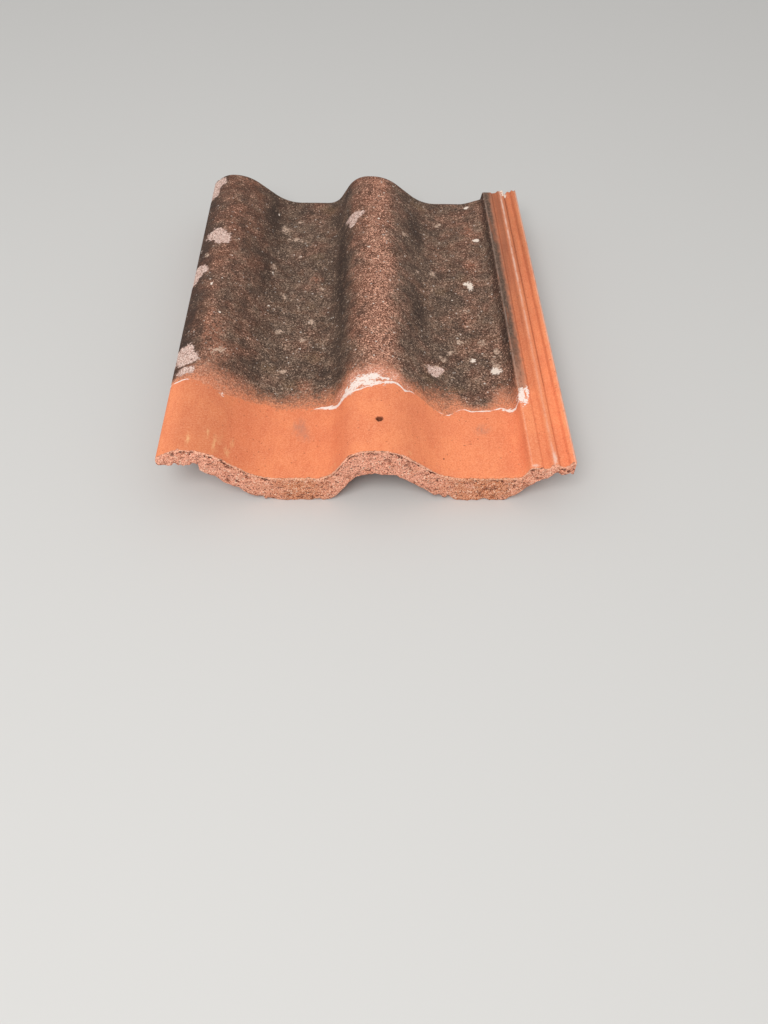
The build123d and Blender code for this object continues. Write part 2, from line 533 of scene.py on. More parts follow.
# Spots (x, y, half width, half length): bare where the face has flaked, cracks of the old face that stayed
# across a flake, pale spots and grey-tan lichen
flakes = (
    (-161, 195, 12, 12), (-163, 178, 7, 13), (-149, 90, 12, 12), (-143, 84, 10, 11), (-161, 33, 10, 11),
    (-165, 22, 6, 10), (-158, -88, 10, 11), (-155, -98, 12, 10), (-153, -113.5, 9.5, 6), (-12, 133, 9, 9),
    (-14, 123, 4.5, 7), (-5, 134, 5, 5), (60, -83, 7, 8), (67, -78, 4, 4),
)
flake_cracks = ((-153, -107.5, 14, 1.1),)
pale_spots = (
    (104.5, 51, 3.4, 9), (100, 54, 3.4, 3), (117.5, 131.5, 4.6, 3), (112, 196, 3, 3), (117, -78, 5.6, 5.8),
    (97.5, -63.5, 3.4, 3), (-94, 63, 1.4, 2.2), (-94, 170, 1.4, 2.2), (-94, 9, 1.4, 1.8),
    (-62, -48, 1.3, 2.2), (-145, 7, 2.2, 2.2), (2.5, 70, 1.5, 2), (19, 175, 1.3, 2), (13, 122, 1.4, 1.8),
    (-36, 90, 1.3, 2), (-133, -35, 1.5, 1.5), (92, 104, 1.5, 1.8), (-132, 101, 1.4, 1.6),
    (15, -18, 1.4, 1.6), (-136, 17, 1.2, 1.4), (85, 28, 1.3, 1.5), (-68, 101, 1.5, 2), (152.8, 202, 3.2, 8),
    (151.5, 208, 2.6, 4),
)
lichens = (
    (61, -82, 10, 10), (66, -77, 7, 6), (-86, 146, 7, 12), (-75, 130, 10, 7), (-54, -9, 7, 6),
    (-83, -25, 6, 7), (78, 160, 6, 9), (40, 115, 5, 6), (78, -53, 6, 5), (69, -63, 5, 6), (87, -38, 5, 7),
    (-156, 57, 5, 7), (68, 70, 6, 6), (-80, 30, 5, 6), (-42, 44, 8, 4), (-70, 165, 5, 7), (-94, 74, 4, 7),
    (-68, 100, 4, 4), (-60, -35, 5, 4), (52, 62, 3, 4), (-128, -86, 9, 7), (-78, 5, 5, 5), (108, -38, 6, 5),
    (120, -50, 5, 6), (118, -72, 6, 7), (-76, -80, 7, 5), (96, 10, 6, 4),
)
# Larger patches: orange-brown, and olive
rust_smudges = (
    (-130, -88, 9, 7), (-130, -84, 15, 24), (-134, -60, 11, 26), (-141, -50, 5, 40), (-138, -110, 14, 10),
    (-120, -116, 14, 8), (-56, -102, 10, 15), (-66, -112, 9, 8), (110, 150, 8, 16), (14, 192, 14, 14),
    (-128, 198, 14, 9), (-50, 60, 9, 8), (118, -108, 12, 12), (-12, -112, 12, 5), (12, -112, 14, 5),
    (108, 90, 9, 12), (-22, -117, 8, 8), (-36, -108, 7, 8),
)
olive_smudges = (
    (-50, 100, 10, 9), (-54, 16, 7, 6), (78, -104, 14, 6), (58, 192, 14, 10), (-40, 190, 12, 12),
    (-48, -60, 12, 10), (98, 64, 8, 9), (-88, -80, 10, 8), (74, 40, 9, 7), (-66, -98, 12, 10),
    (54, -96, 9, 9),
)
# Head band: thin cream runs, a faint grey stain and small dark chips
cream_runs = (
    (-120, -195, 2.2, 12), (-117, -186, 1.4, 10), (-140, -196, 2.4, 8), (-111, -197, 2, 9),
    (-126, -187, 1.4, 8), (33, -203, 2.4, 3), (-27, -202, 2.4, 3), (-121, -139, 2, 3), (-108, -186, 1.4, 6),
)
grey_stains = ((-57, -152, 9, 14), (-52, -162, 8, 8), (98, -153, 9, 8))
dark_chips = (
    (81.5, -171.5, 1.5, 0.7), (86, -170, 1.5, 0.7), (-100, -166, 1, 1), (20, -196, 1.3, 0.9),
    (62, -190, 1, 1),
)
# Across the tile {x: value}: red-brown on the crests, bright sand grains, how bright the coat is, and black
# where water stands, with more black patches
warmth = {
    -166: 0.45, -156: 0.42, -148: 0.5, -140: 0.58, -130: 0.46, -118: 0.45, -104: 0.33, -90: 0.12, -70: 0.14,
    -55: 0.3, -45: 0.26, -35: 0.1, -24: 0.04, -18: 0.2, -13: 0.5, -7: 0.62, 0: 0.8, 8: 0.98, 17: 0.9,
    25: 0.6, 33: 0.3, 42: 0.2, 55: 0.2, 80: 0.3, 105: 0.38, 118: 0.38, 128: 0.4, 166: 0.5,
}
sandiness = {
    -166: 0, -156: 0.05, -146: 0.26, -134: 0.24, -120: 0.2, -104: 0.2, -90: 0.34, -60: 0.44, -40: 0.34,
    -30: 0.18, -18: 0.18, -9: 0.25, 0: 0.56, 10: 0.82, 20: 0.75, 28: 0.52, 38: 0.36, 60: 0.35, 84: 0.35,
    110: 0.42, 125: 0.6, 131: 0.3, 166: 0.3,
}
coat_shade = {
    -166: 1, -158: 0.98, -148: 0.84, -130: 0.79, -116: 0.84, -107: 0.93, -90: 0.93, -40: 0.94, -22: 0.94,
    -5: 0.98, 20: 0.98, 50: 1, 110: 1, 129: 1, 139: 1, 143: 1.06, 148: 0.93, 153: 0.95, 156: 1.04,
    160: 1.04, 163: 1.1, 166: 1.1,
}
# By the shoulder (x 129 to 130.2) this black is dirt and painted shade
blackness = {
    -166: 0.9, -158: 0.78, -152: 0.48, -144: 0.1, -130: 0.08, -112: 0.09, -101: 0.12, -90: 0.08, -70: 0.03,
    -50: 0.03, -36: 0.15, -28: 0.42, -21: 0.36, -15: 0.15, -8: 0.05, 20: 0, 32: 0.06, 44: 0.08, 56: 0.08,
    72: 0.05, 100: 0.05, 114: 0, 124: 0.04, 129: 0.8, 130.2: 0.6, 132: 0, 166: 0,
}
dark_patches = (
    (-98, 165, 12, 60), (-100, 60, 7, 40), (-66, 188, 13, 15), (-94, 150, 13, 50), (52, 140, 10, 45),
    (48, -5, 8, 45), (-38, -82, 7, 10), (98, -108, 8, 5), (84, -66, 10, 9), (-162, -30, 8, 50),
    (-24, 60, 6, 90), (118, -98, 6, 6),
)
# Lengthwise lines on the ribs: dirt and painted shade in the grooves and on the rib walls (x, half width,
# strength), edges rubbed pale (x, half width), how much the rib is rubbed {y: value}, and rubbed chips
groove_dirt_and_shade_lines = (
    (129.3, 1.3, 1), (140.6, 1.2, 0.8), (143.2, 4.5, 0.55), (145.2, 0.9, 0.5), (153.2, 1.2, 0.8),
    (160.6, 0.9, 0.5),
)
rib_rub = (149, 1.3)
rib_rub_strength = {-210: 1, -192: 0.8, -180: 0.3, -60: 0.25, -20: 0.55, 60: 0.85, 190: 1, 210: 1}
rim_rub = (165.2, 1.5)
ridge_rub = (131.4, 0.8)
rubbed_chips = ((150, -201, 2.2, 9), (165, -120, 1.5, 5), (134, -206, 4, 2))
# Damage (x, half width, size): breaks of the head's upper arris, cracks just below it, notches of its
# lower edge, and chips off the ribs' upper arris at the tail
arris_breaks = (
    (-164, 5, 2.4), (-147, 8, 1.6), (-132, 6, 1.2), (-119, 6, 1.6), (-101, 4, 1.1), (-82, 6, 0.5),
    (-54, 8, 0.8), (-37, 5, 0.5), (-16, 5, 3), (-9, 5, 0.6), (14, 8, 0.8), (31, 6, 1.1), (47, 5, 0.9),
    (64, 6, 0.6), (84, 8, 0.8), (104, 6, 0.5), (122, 5, 1.2), (133, 5, 1), (149, 5, 1.4), (161, 5, 1.8),
)
arris_cracks = (
    (-142, 7, 1), (-124, 5, 0.7), (-111, 8, 1), (-98, 4, 0.8), (-84, 6, 1), (-33, 4, 0.6), (-22, 4, 0.8),
    (-13, 6, 1), (2, 4, 0.7), (23, 8, 1), (38, 4, 0.7), (52, 5, 0.9), (88, 4, 0.5), (107, 4, 0.6),
    (132, 3, 0.6), (156, 4, 0.7),
)
foot_breaks = (
    (-160, 4, 1.4), (-151, 3, 1.8), (-136, 4, 1.5), (-120, 5, 1.3), (-104, 5, 1.8), (-88, 4, 2.6),
    (-79, 5, 1.6), (-52, 4, 1), (-40, 5, 1.4), (-8, 5, 1), (22, 5, 1), (46, 4, 1), (60, 5, 2.2),
    (68, 5, 2.4), (96, 5, 1.4), (118, 4, 1), (138, 5, 1.4), (152, 4, 1.8), (162, 4, 1.6),
)
tail_chips = ((149, 4, 3), (154.5, 4, 4.5), (163.5, 5, 6.5))
# The head face is browner where the pans are {x: value}
tan_head = {
    -166: 0, -110: 0.1, -80: 0.5, -62: 1, -48: 1, -34: 0.5, -20: 0.1, 40: 0.1, 60: 0.4, 76: 0.9, 108: 1.1,
    120: 0.6, 130: 0.3, 166: 0.1,
}


def peaks(places, x):
    """The size of the largest of the breaks (x, half width, size) at each x."""
    value = np.zeros_like(x)
    for middle, half_width, size in places:
        value = np.maximum(value, size * smooth(1.3 * (1 - abs(x - middle) / half_width)))
    return value


def stripe(x, middle, half_width):
    """1 along a lengthwise line, 0 past its half width."""
    return np.clip(1 - abs(x - middle) / half_width, 0, 1)


def grown(places, x, y, wobble):
    """Soft spots, from 0 at their edges to 1 in their middles."""
    return np.clip(1.4 * spots(places, x, y, wobble), 0, 1)


# How far wear and roughness reach in from the head and the tail
end_zone = 12
head_reach = 3
tail_zone = 2
tail_reach = 1.5
# The breaks down the head's sides, the depths of wear, and where the cracks lie and how wide they open
side_break = 2.6
head_rough = 0.9
head_pits = 1.6
crack_depth = 2
tail_rough = 0.5
flake_depth = 0.6
crack_below = 3
crack_wide = 1.9
# What counts as on an end face, the cut that a whole head face has, and how far fields fall off a face
on_end = 0.01
head_cut = 3
off_face = 3


def broken_arrises(x, from_head, from_tail, below_top, above_foot, ragged):
    """How far broken arrises move each point, and how far inside a break it is."""
    arris_size = np.clip(0.6 + 0.9 * ragged, 0.1, 2.4) + peaks(arris_breaks, x) * (1 + 0.5 * ragged)
    foot_size = np.clip(0.9 + 1.3 * ragged, 0.2, 3.4) + peaks(foot_breaks, x) * (1.5 + 0.8 * ragged)
    side_size = side_break + 1.2 * ragged
    tail_size = peaks(tail_chips, x) * (1 + 0.6 * ragged)
    cuts = [
        (arris_size - from_head - below_top, (0, 1, -1)),
        (foot_size - from_head - above_foot, (0, 1, 1)),
        (side_size - from_head - (x - left), (1, 1, 0)),
        (side_size - from_head - (right - x), (-1, 1, 0)),
        (tail_size - from_tail - below_top, (0, -1, -1)),
    ]
    moved = sum(0.5 * np.clip(depth, 0, None)[:, None] * np.array(way) for depth, way in cuts)
    return moved, np.maximum.reduce([depth for depth, _ in cuts])


def rough_ends(ends, from_head, from_tail):
    """How far the rough head and tail faces lie inside the ends, and the pits of the head face."""
    rough = np.zeros(len(ends))
    pit = np.zeros(len(ends))
    near = from_head < end_zone
    rough[near] = 0.45 * (1 + wander(ends[near], 9)) + 0.55 * (1 + wander(ends[near], 3.6, 4.2))
    pit[near] = np.clip(wander(ends[near], 4.2, 9.3) - 0.25, 0, 0.4) * 2.5
    inward = smooth(1 - from_head / head_reach) * (head_rough * rough + head_pits * pit)
    near = from_tail < tail_zone
    rough[near] = 0.5 * (1 + wander(ends[near], 5)) + 0.3 * (1 + wander(ends[near], 2.2, 1.2))
    return inward - smooth(1 - from_tail / tail_reach) * tail_rough * rough * near, pit


def face_relief(x, y, flat, flake, wobble):
    """How far unevenness and flakes sink the weathered face, and how high dirt is packed on it."""
    swell = 0.1 * (1 + wander(flat, 26)) + 0.06 * (1 + wander(flat, 6.5, 6))
    sunk = swell + flake_depth * smooth(5 * flake) * (1 + 0.5 * wobble)
    packed = packed_depth * np.clip((x - packed_from) / (ridge_x - packed_from), 0, 1) ** 1.5
    packed *= smooth((y - packed_start) / packed_run)
    return sunk * (y - head > on_end), np.clip(pan_z + packed - top_z(x), 0, None)


def rubbed(x, y, wobble):
    """How far the edges of the ribs are rubbed pale."""
    return np.maximum.reduce([
        stripe(x, *rib_rub) * along(rib_rub_strength, y),
        0.8 * stripe(x, *rim_rub),
        0.35 * stripe(x, *ridge_rub),
        grown(rubbed_chips, x, y, wobble),
    ])


def wear(points, down):
    """Moves the points for breaks, rough ends and flakes, and gives the fields that the material reads."""
    x, y, z = points.T.copy()
    from_head = y - head
    from_tail = tail - y
    below_top = top_z(x) - z
    above_foot = z - np.minimum(bar_z(x), lip_burr(x, head))
    flat = np.stack([x, y, np.zeros_like(x)], axis=1)
    ends = np.stack([x, z, from_head], axis=1)
    end_weight = smooth(1 - from_head / head_reach)
    on_face = smooth(1 - 6 * down)
    above_face = (1 - on_face) * off_face
    wobble = 0.28 * wander(flat, 5, 2) + 0.2 * wander(flat, 2.2, 5)
    ragged = np.zeros_like(x)
    near_end = (from_head < end_zone) | (from_tail < end_zone)
    ragged[near_end] = wander(flat[near_end] * (1, 0.3, 1), 4.5, 3.1)
    ragged[near_end] += 0.8 * wander(flat[near_end], 2.3, 7.7)

    moved, cut = broken_arrises(x, from_head, from_tail, below_top, above_foot, ragged)
    cut = np.where(from_head < on_end, np.maximum(cut, head_cut), cut)
    inward, pit = rough_ends(ends, from_head, from_tail)
    split = below_top - crack_below - 1.2 * ragged
    crack = smooth(peaks(arris_cracks, x) + 0.6 * ragged) * end_weight
    moved[:, 1] += inward
    moved[:, 1] += crack_depth * crack * np.clip(1 - abs(split) / crack_wide, 0, 1)

    kept = spots(flake_cracks, x, y, 0.5 * wobble)
    flake = spots(flakes, x, y, wobble)
    flake = np.where(kept > 0, np.minimum(flake, -0.2), flake)
    sunk, packed = face_relief(x, y, flat, flake, wobble)
    moved[:, 2] -= on_face * sunk
    moved[:, 2] += on_face * packed

    # The underside and all but the top of the tail face have moulded concrete, without the coat
    on_tail = (from_tail < on_end) & (down > 0) & (down < 1)
    under = (down > 0.5) & (from_head > on_end)
    under = np.where(on_tail, np.clip(1.6 * (down - 0.25), 0, 1), under)
    # Darker lines along the grooves and rib walls: dirt and painted shade
    grime_and_groove_shade = np.maximum.reduce([strength * stripe(x, middle, wide) for middle, wide, strength in groove_dirt_and_shade_lines])
    fields = {
        "lap": y - along(lap_edge, x) + 0.8 * wander(flat, 7, 8),
        "lime_line": along(lime_line, x) * smooth(1 + 1.6 * wander(flat, 5, 11)),
        "lime_bloom": spots(lime_blooms, x, y, 0.6 * wobble),
        "haze": grown(lime_haze, x, y, wobble) * on_face,
        "flake": flake - above_face,
        "pale": spots(pale_spots, x, y, 0.6 * wobble) - above_face,
        "chip": spots(dark_chips, x, y, 0.3 * wobble) - above_face,
        "lichen": grown(lichens, x, y, 1.8 * wobble) * on_face,
        "stain": grown(grey_stains, x, y, 0.6 * wobble),
        "sandy": along(sandiness, x) * (1 - 0.24 * smooth((y - 20) / 150)),
        "black": np.clip(along(blackness, x) + 0.8 * grown(dark_patches, x, y, wobble), 0, 1),
        "grime_and_groove_shade": grime_and_groove_shade * on_face,
        "rub": rubbed(x, y, wobble) * smooth(1 - 3 * down),
        "hole": 1 - np.hypot(x - hole_x, y - hole_y) / (2.2 * hole_radius),
        "cut": cut,
        "pit": pit * end_weight,
        "brow": np.clip(1 - below_top / (3 + 1.6 * ragged), 0, 1) * end_weight,
        "crack": crack,
        "split": split,
        "under": under,
        "across": x,
        "lengthwise": y,
    }
    for name, stops in (("fade", lap_fade), ("warm", warmth), ("shade", coat_shade), ("tan", tan_head)):
        fields[name] = along(stops, x)
    for name, places in (("rust", rust_smudges), ("olive", olive_smudges), ("cream", cream_runs)):
        fields[name] = grown(places, x, y, 0.8 * wobble)
    return np.clip(points + moved, (left, head, floor_z), (right, tail, crest_z)), fields


def placed(name, data):
    """A new object in the scene."""
    holder = bpy.data.objects.new(name, data)
    bpy.context.scene.collection.objects.link(holder)
    return holder


points, faces, down = tile_mesh()
points, fields = wear(points, down)
mesh = bpy.data.meshes.new("roof_tile_weathered")
mesh.from_pydata((points * MM).tolist(), [], faces.tolist())
mesh.update()
for name, values in fields.items():
    mesh.attributes.new(name, "FLOAT", "POINT").data.foreach_set("value", values.astype(np.float32))
tile = placed("roof_tile_weathered", mesh)
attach(tile, "root")
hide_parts("roof_tile")
for polygon in mesh.polygons:
    polygon.use_smooth = True
mesh.set_sharp_from_angle(angle=radians(55))


def srgb(red, green, blue):
    """A colour as a picture gives it, 0 to 255, in the shader's own linear values."""
    shares = [value / 255 for value in (red, green, blue)]
    return tuple(v / 12.92 if v <= 0.04045 else ((v + 0.055) / 1.055) ** 2.4 for v in shares) + (1,)


class Graph:
    """Short ways to add nodes to a material, with sizes in millimetres.

    A value is a number, a socket or the name of one of the mesh's fields. A colour is a socket, or three
    numbers as a picture gives them, or four linear ones.
    """

    def __init__(self, name):
        self.material = bpy.data.materials.new(name)
        self.material.use_nodes = True
        self.tree = self.material.node_tree
        self.shader = self.tree.nodes["Principled BSDF"]
        place = self.add("ShaderNodeTexCoord").outputs["Object"]
        self.place = self.vector("MULTIPLY", place, (1 / MM, 1 / MM, 1 / MM))
        self.coarse = self.step(self.noise(3.4, 4, 0.7, 51), 0.25, 0.75, -1, 1)
        self.fine = self.step(self.noise(1.9, 2, 0.6, 52), 0.3, 0.7, -1, 1)

    def add(self, kind, inputs=None, **settings):
        node = self.tree.nodes.new(kind)
        for name, value in settings.items():
            setattr(node, name, value)
        for name, value in (inputs or {}).items():
            self.put(node.inputs[name], value)
        return node

    def put(self, socket, value):
        if isinstance(value, str):
            value = self.add("ShaderNodeAttribute", attribute_name=value).outputs["Fac"]
        if isinstance(value, bpy.types.NodeSocket):
            self.tree.links.new(value, socket)
        elif socket.type == "RGBA" and len(value) == 3:
            socket.default_value = srgb(*value)
        else:
            socket.default_value = value

    def math(self, operation, *values, kind="ShaderNodeMath"):
        node = self.add(kind, operation=operation)
        for socket, value in zip(node.inputs, values):
            self.put(socket, value)
        return node.outputs[0]

    def vector(self, operation, place, other):
        return self.math(operation, place, other, kind="ShaderNodeVectorMath")

    def times(self, first, *others):
        for other in others:
            first = self.math("MULTIPLY", first, other)
        return first

    def moved(self, seed, stretch=None):
        """The place in the tile, moved by the seed so that no two textures match."""
        place = self.vector("MULTIPLY", self.place, stretch) if stretch else self.place
        return self.vector("ADD", place, (37 * seed, 19 * seed, 11 * seed))

    def noise(self, size, detail, rough=0.5, seed=0, stretch=None):
        place = self.moved(seed, stretch)
        values = {"Vector": place, "Scale": 1 / size, "Detail": detail, "Roughness": rough}
        return self.add("ShaderNodeTexNoise", values).outputs["Fac"]

    def step(self, value, low, high, to_low=0, to_high=1):
        """A smooth step: to_low where the value is at low, to_high where it is at high."""
        node = self.add("ShaderNodeMapRange", interpolation_type="SMOOTHSTEP")
        for socket, number in zip(node.inputs, (value, low, high, to_low, to_high)):
            self.put(socket, number)
        return node.outputs["Result"]

    def uneven(self, value, by_coarse, by_fine=0):
        """The value with shares of the coarse and the fine noise added."""
        for texture, share in ((self.coarse, by_coarse), (self.fine, by_fine)):
            if share:
                value = self.math("MULTIPLY_ADD", texture, share, value)
        return value

    def grains(self, size, seed, amount):
        """Round grains: a mask of the chosen amount of them, from 0 to 1, and a random tone for each."""
        cells = self.add("ShaderNodeTexVoronoi", {"Vector": self.moved(seed), "Scale": 1 / size})
        chance = self.add("ShaderNodeSeparateColor", {"Color": cells.outputs["Color"]})
        chosen = self.step(self.math("ADD", chance.outputs[0], amount), 0.98, 1.02)
        within = self.step(cells.outputs["Distance"], 0.68, 0.42)
        return self.times(chosen, within), chance.outputs[1]

    def mix(self, share, under, over, blend="MIX"):
        node = self.add("ShaderNodeMix", {"Factor": share}, data_type="RGBA", blend_type=blend)
        colours = [socket for socket in node.inputs if socket.type == "RGBA"]
        self.put(colours[0], under)
        self.put(colours[1], over)
        return next(socket for socket in node.outputs if socket.type == "RGBA")


class Paint:
    """A colour that others are laid over, one by one."""

    def __init__(self, graph, share, under, over):
        self.graph = graph
        self.colour = graph.mix(share, under, over)

    def over(self, tint, *shares, blend="MIX"):
        """Lays on a tint. Its share is the product of the shares."""
        self.colour = self.graph.mix(self.graph.times(*shares), self.colour, tint, blend)

    def tones(self, value, *tones):
        """Lays on each tone (limit, strength, tint) where the value passes from 0.5 to the limit."""
        for limit, strength, tint in tones:
            self.over(tint, self.graph.step(value, 0.5, limit, 0, strength))

    def strew(self, tint, size, seed, amount, weakest, strongest):
        """Strews grains of a tint, each with its own strength."""
        mask, tone = self.graph.grains(size, seed, amount)
        self.over(tint, mask, self.graph.step(tone, 0, 1, weakest, strongest))


def coat_colour(g):
    """The matt orange coat, as it still is where the next tile covered it."""
    coat = Paint(g, g.step(g.noise(34, 2), 0.34, 0.66), (238, 140, 97), (246, 148, 101))
    coat.over((228, 128, 88), g.step(g.noise(7, 3, 0.6, 1, (1, 0.4, 1)), 0.42, 0.72, 0, 0.5))
    coat.tones(g.noise(1.2, 2, 0.7, 2), (0.66, 0.4, (255, 176, 134)), (0.34, 0.4, (206, 106, 70)))
    pits, _ = g.grains(1.7, 3, g.step(g.noise(14, 1, 0.5, 4), 0.4, 0.7, 0, 0.045))
    coat.over((160, 80, 54), pits, 0.4)
    shade = g.add("ShaderNodeCombineColor", dict.fromkeys(("Red", "Green", "Blue"), "shade"))
    coat.over(shade.outputs["Color"], 1, blend="MULTIPLY")
    scuff = g.step(g.noise(3, 3, 0.6, 5, (1, 0.5, 1)), 0.25, 0.7)
    coat.over((192, 132, 108), "stain", scuff, 0.75)
    cream = g.step(g.noise(2.6, 3, 0.65, 6, (1, 0.4, 1)), 0.36, 0.62)
    coat.over((248, 196, 140), "cream", cream, 0.6)
    coat.over((120, 58, 40), g.step("chip", 0, 0.25), 0.8)
    return coat.colour


# The underlock along the tile: where it turns duller towards the tail, and where its ridge's dirt darkens
dulling_range = (-125, 110)
dirt_range = (-118, -50)
# Across it: the ridge's inner edge, the dirt's paler side, and where it ends, thick and thin
exposed_end = 130.4
ridge_edge = (130.1, 130.5)
pale_side = (134.5, 138.5)
thick_end = (141.6, 137)
thin_end = (148.5, 146.5)


def lock_dulled_to_tail(g, colour):
    """The underlock past the clean band: duller towards the tail, with dirt on its ridge."""
    streak = g.step(g.noise(4, 3, 0.65, 8, (1, 0.05, 1)), 0.34, 0.66, 0.6, 1)
    tail_ramp = g.times(g.step("lengthwise", *dulling_range), streak)
    dulled_lock = g.mix(tail_ramp, colour, (0.66, 0.68, 0.70, 1), "MULTIPLY")
    dirt = Paint(g, g.step("lengthwise", *dirt_range), (186, 130, 104), (98, 78, 66))
    fine = g.noise(1.6, 3, 0.7, 9, (1, 0.6, 1))
    dirt.tones(fine, (0.68, 0.35, (172, 138, 118)), (0.34, 0.5, (66, 48, 41)))
    dirt.over((162, 100, 72), g.step(g.noise(5, 3, 0.6, 7, (1, 0.12, 1)), 0.48, 0.68, 0, 0.5))
    wavy = g.step(g.noise(3.2, 3, 0.7, 7.5, (1, 0.3, 1)), 0.3, 0.7, -1, 1)
    edge = g.math("ADD", "across", wavy)
    dirt.over((196, 128, 98), g.step(edge, *pale_side, 0, 0.55))
    near = g.math("MAXIMUM", g.step(edge, *thick_end), g.times(g.step(edge, *thin_end), tail_ramp, 0.4))
    share = g.times(near, g.step("lap", 0, 8), g.step("across", *ridge_edge))
    return g.mix(share, dulled_lock, dirt.colour)


def film_colour(g):
    """The thin brown film that the clean band fades into above the lap."""
    film = Paint(g, g.step(g.noise(9, 3, 0.6, 55), 0.35, 0.65), (180, 114, 82), (200, 130, 95))
    film.over((216, 142, 115), "warm", 0.7)
    light = g.mix("warm", (226, 164, 128), (255, 208, 182))
    fine = g.noise(1.15, 2, 0.7, 56, (1, 0.8, 1))
    film.tones(fine, (0.64, 0.6, light), (0.36, 0.6, (118, 70, 50)))
    return film.colour


def weathered_colour(g):
    """The exposed face: the coat worn down to dark, lichen-grown cement with sand grains showing."""
    patch = g.noise(12, 4, 0.6, 11)
    warm = g.math("ADD", "warm", g.step(g.noise(22, 4, 0.6, 10), 0.3, 0.7, -0.24, 0.22))
    face = Paint(g, g.step(warm, 0, 1), (94, 74, 62), (136, 89, 69))
    face.tones(patch, (0.68, 0.6, (134, 106, 87)), (0.34, 0.5, (72, 56, 48)))
    face.tones(g.noise(17, 3, 0.6, 12), (0.7, 0.5, (126, 88, 67)))
    smudge = g.step(g.noise(3.4, 3, 0.65, 13), 0.3, 0.6)
    face.over((138, 108, 76), "olive", smudge, 0.45)
    face.over((184, 120, 93), "rust", smudge, 0.65)
    # Black patches: moss, and by the shoulder dirt and painted shade
    moss_and_shade = g.times("black", g.step(g.noise(6, 4, 0.65, 14), 0.25, 0.55, 0.45, 1))
    face.over((56, 44, 39), moss_and_shade, 0.8)

    dimmed = g.math("SUBTRACT", 1, g.times(moss_and_shade, 0.72))
    sandy = g.times(g.math("ADD", "sandy", g.step(patch, 0.3, 0.7, -0.2, 0.25)), dimmed)
    bright = g.math("ADD", g.times(sandy, 0.6), g.times(dimmed, 0.2))
    light = g.mix(g.step(warm, 0.1, 0.9), (182, 155, 134), (246, 186, 158))
    shadow = g.mix(g.step(warm, 0.1, 0.8), (54, 41, 34), (62, 33, 22))
    fine = g.noise(1.05, 2, 0.7, 57, (1, 0.75, 1))
    face.over(light, g.step(fine, 0.5, 0.66), bright)
    face.tones(fine, (0.36, 0.82, shadow))
    face.strew(light, 1.15, 15, g.times(sandy, 0.6), 0.1, 1)
    face.strew(light, 1.7, 16, g.times(sandy, 0.14), 0.3, 1)
    face.strew(shadow, 1.3, 17, 0.28, 0.2, 0.85)
    white, _ = g.grains(1.8, 19, g.step(sandy, 0.1, 0.8, 0.003, 0.014))
    face.over((232, 218, 206), white, 0.9)
    ragged = g.step(g.noise(2.3, 4, 0.8, 20), 0.35, 0.65, -1, 0.1)
    lichen = g.step(g.math("ADD", "lichen", ragged), 0.12, 0.55)
    face.over((212, 182, 160), lichen, 0.82)
    return face.colour


def raw_colour(g):
    """Concrete as it broke or was cut: sand bound in red cement, with dark pits, and painted shade in its
    splits below the arris.
    """
    raw = Paint(g, "tan", (255, 172, 144), (222, 138, 94))
    raw.tones(g.noise(9, 3, 0.55, 21), (0.68, 0.5, (255, 180, 154)), (0.34, 0.5, (214, 128, 92)))
    raw.tones(g.noise(1, 4, 0.8, 22), (0.6, 0.8, (255, 208, 178)), (0.4, 0.9, (128, 62, 42)))
    raw.strew((255, 212, 184), 1.5, 23, 0.14, 0.2, 0.8)
    raw.strew((104, 52, 38), 1.2, 25, 0.08, 0.4, 1)
    holes = g.step(g.noise(2.4, 4, 0.75, 26, (0.5, 1, 1)), 0.58, 0.63)
    raw.over((92, 44, 32), holes, 0.85)
    crumbs = g.times(g.step("brow", 0.05, 0.5), g.step(g.noise(1.6, 3, 0.7, 27), 0.44, 0.54))
    raw.over((255, 200, 166), crumbs, 0.45)
    # The splits just below the head's arris are coloured dark: painted shade inside them
    wavy = g.step(g.noise(3, 4, 0.7, 28), 0.25, 0.75, -1.6, 1.6)
    split = g.math("ABSOLUTE", g.math("ADD", "split", wavy))
    cracks = g.times(g.step(split, 0.9, 0.4), g.step("crack", 0.2, 0.5))
    raw.over((64, 32, 25), cracks, 0.9)
    raw.over((96, 50, 38), g.step("pit", 0.25, 0.9, 0, 0.7))
    return raw.colour


def under_colour(g):
    """The moulded underside: plain red-brown concrete with small air holes."""
    under = Paint(g, g.step(g.noise(36, 4, 0.55, 31), 0.35, 0.7), (180, 112, 86), (200, 132, 104))
    under.over((168, 100, 76), g.step(g.noise(9, 4, 0.6, 32), 0.45, 0.7, 0, 0.5))
    fine = g.noise(1.4, 3, 0.75, 33)
    under.tones(fine, (0.66, 0.4, (230, 172, 142)), (0.34, 0.4, (126, 72, 54)))
    holes = g.step(g.noise(16, 2, 0.5, 36), 0.4, 0.7, 0.01, 0.06)
    under.strew((84, 46, 36), 1.7, 35, holes, 0.3, 0.8)
    return under.colour


def flake_colour(g):
    """Bared concrete, pale pink with fine grain."""
    bared = Paint(g, g.noise(5, 3, 0.6, 40), (200, 160, 146), (230, 198, 184))
    fine = g.noise(1.2, 3, 0.75, 41)
    bared.tones(fine, (0.62, 0.85, (252, 234, 222)), (0.38, 0.75, (142, 98, 84)))
    dark, tone = g.grains(1.6, 43, 0.16)
    bared.over((104, 72, 62), dark, tone)
    return bared.colour


def lime_cover(g):
    """Where lime has dried white: a thin broken line along the lap, and blooms beside it."""
    away = g.math("ABSOLUTE", g.uneven("lap", 0.3))
    line = g.step(g.math("SUBTRACT", g.times("lime_line", 0.9), away), -0.35, 0.35)
    present = g.step("lime_line", 0.15, 0.5)
    bloom = g.step(g.uneven("lime_bloom", 0.3, 0.3), 0.05, 0.5)
    return g.math("MAXIMUM", g.times(line, present), bloom)


# The whole tile is matt. Its grain shows as a bump of this depth in metres, least on the coat
matt = 0.9
shine = 0.25
grain_depth = 0.5 * MM
grain_strength = 0.8
coat_grain = 0.18


